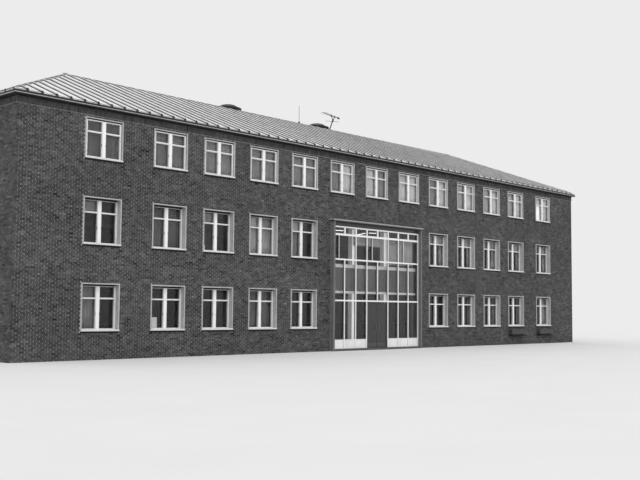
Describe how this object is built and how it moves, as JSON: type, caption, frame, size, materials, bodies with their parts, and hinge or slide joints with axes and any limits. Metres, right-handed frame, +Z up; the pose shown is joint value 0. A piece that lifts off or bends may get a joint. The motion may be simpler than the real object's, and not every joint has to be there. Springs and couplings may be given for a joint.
{
  "type": "brick police station",
  "caption": "Long brick public building with a low hipped batten-roll roof, rows of white mullioned windows and a tall glazed entrance.",
  "frame": {"origin": "centre of the plan on the ground line, under the ground floor slab", "axes": "+X along the front to the right as seen from outside, +Y into the building from the front, +Z up"},
  "size_m": [39.05, 11.94, 12.814],
  "materials": {
    "brick": "rough brick in stretcher bond with pale joints",
    "brick_band": "rough brick on end",
    "concrete": "plain concrete",
    "roof_metal": "weathered light metal sheet with batten rolls",
    "painted_timber": "dark painted board",
    "light_board": "light painted board",
    "gutter": "dark painted gutter",
    "vent_metal": "dark painted cowl",
    "galvanised": "dull grey",
    "aerial_metal": "dull weathered tube",
    "surround": "light cast concrete",
    "white_paint": "white gloss paint",
    "glass": "clear glass",
    "box_paint": "dark painted board",
    "portal_stone": "smooth grey cast stone",
    "panel_paint": "white painted panel",
    "dark_paint": "dark gloss paint",
    "door_timber": "dark varnished boards",
    "plaster": "smooth painted plaster",
    "handle_metal": "satin"
  },
  "bodies": {
    "root": {"aerial": "aerial_metal", "attic_floor": "concrete", "back_wall": "brick", "door_frame": "dark_paint", "eaves_band": "brick_band", "eaves_fascia": "painted_timber", "eaves_gutter": "gutter", "eaves_soffit": "light_board", "entrance_threshold": "portal_stone", "entrance_upstand": "dark_paint", "first_floor": "concrete", "front_wall_left": "brick", "front_wall_over_entrance": "brick", "front_wall_right": "brick", "ground_floor": "concrete", "hall_pillars": "plaster", "hip_caps": "roof_metal", "hopper_lights": "white_paint", "left_wall": "brick", "portal_head": "portal_stone", "portal_jambs": "portal_stone", "ridge_cap": "roof_metal", "ridge_end_covers": "roof_metal", "ridge_pipe": "galvanised", "right_wall": "brick", "roof_back": "roof_metal", "roof_front": "roof_metal", "roof_left": "roof_metal", "roof_right": "roof_metal", "roof_vents": "vent_metal", "screen_base_panels": "panel_paint", "screen_glass": "glass", "screen_head_panel": "dark_paint", "screen_over_door": "white_paint", "screen_sides": "white_paint", "second_floor": "concrete", "window_boxes": "box_paint", "window_glass": "glass", "window_posts": "white_paint", "window_sills": "surround", "window_surrounds": "surround"},
    "door_left": {"door_leaf_left": "door_timber", "door_handle_left": "handle_metal"},
    "door_right": {"door_leaf_right": "door_timber", "door_handle_right": "handle_metal"}
  },
  "joints": [
    {"name": "left_door_hinge", "type": "hinge", "parent": "root", "child": "door_left", "pos_m": [-0.7175, -5.69, 0.1], "axis": [0, 0, 1], "range_deg": [0, 90]},
    {"name": "right_door_hinge", "type": "hinge", "parent": "root", "child": "door_right", "pos_m": [0.7175, -5.69, 0.1], "axis": [0, 0, -1], "range_deg": [0, 90]}
  ]
}
